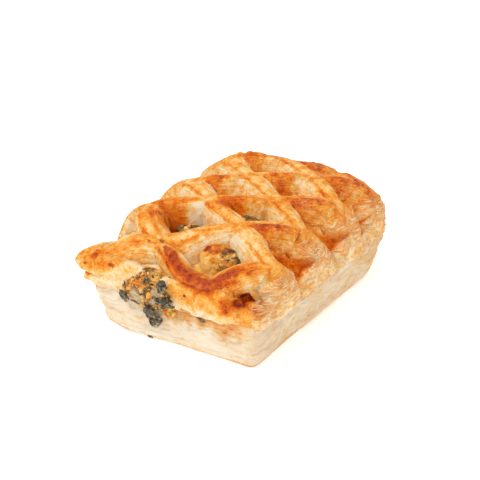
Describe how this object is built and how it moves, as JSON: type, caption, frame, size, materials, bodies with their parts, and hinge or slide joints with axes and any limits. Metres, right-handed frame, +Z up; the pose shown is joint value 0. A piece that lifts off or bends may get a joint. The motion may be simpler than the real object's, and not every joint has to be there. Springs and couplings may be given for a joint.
{
  "type": "spinach feta lattice pastry",
  "caption": "Baked oblong puff pastry with a glazed lattice top; a spinach and cheese filling shows in the open cells and spills over the front edge.",
  "frame": {"origin": "middle of the flat underside of the base, without the lobes that overhang it", "axes": "+Z up, +Y along the length away from the end where the filling spills, +X across the width to the right as seen from that end"},
  "size_m": [0.0919, 0.1282, 0.045],
  "materials": {
    "side_dough": "dry layered pastry, matt",
    "baked_crust": "egg-washed baked crust, satin on the crests",
    "spinach_feta_filling": "moist crumbly filling with browned cheese",
    "spinach_leaf": "cooked dark leaf, slightly moist"
  },
  "bodies": {
    "root": {"pastry_base": "side_dough", "lattice_lid": "baked_crust", "filling": "spinach_feta_filling", "spinach_leaf_hanging": "spinach_leaf", "spinach_leaf_left": "spinach_leaf", "spinach_leaf_right": "spinach_leaf", "spinach_leaf_top": "spinach_leaf"}
  },
  "joints": []
}
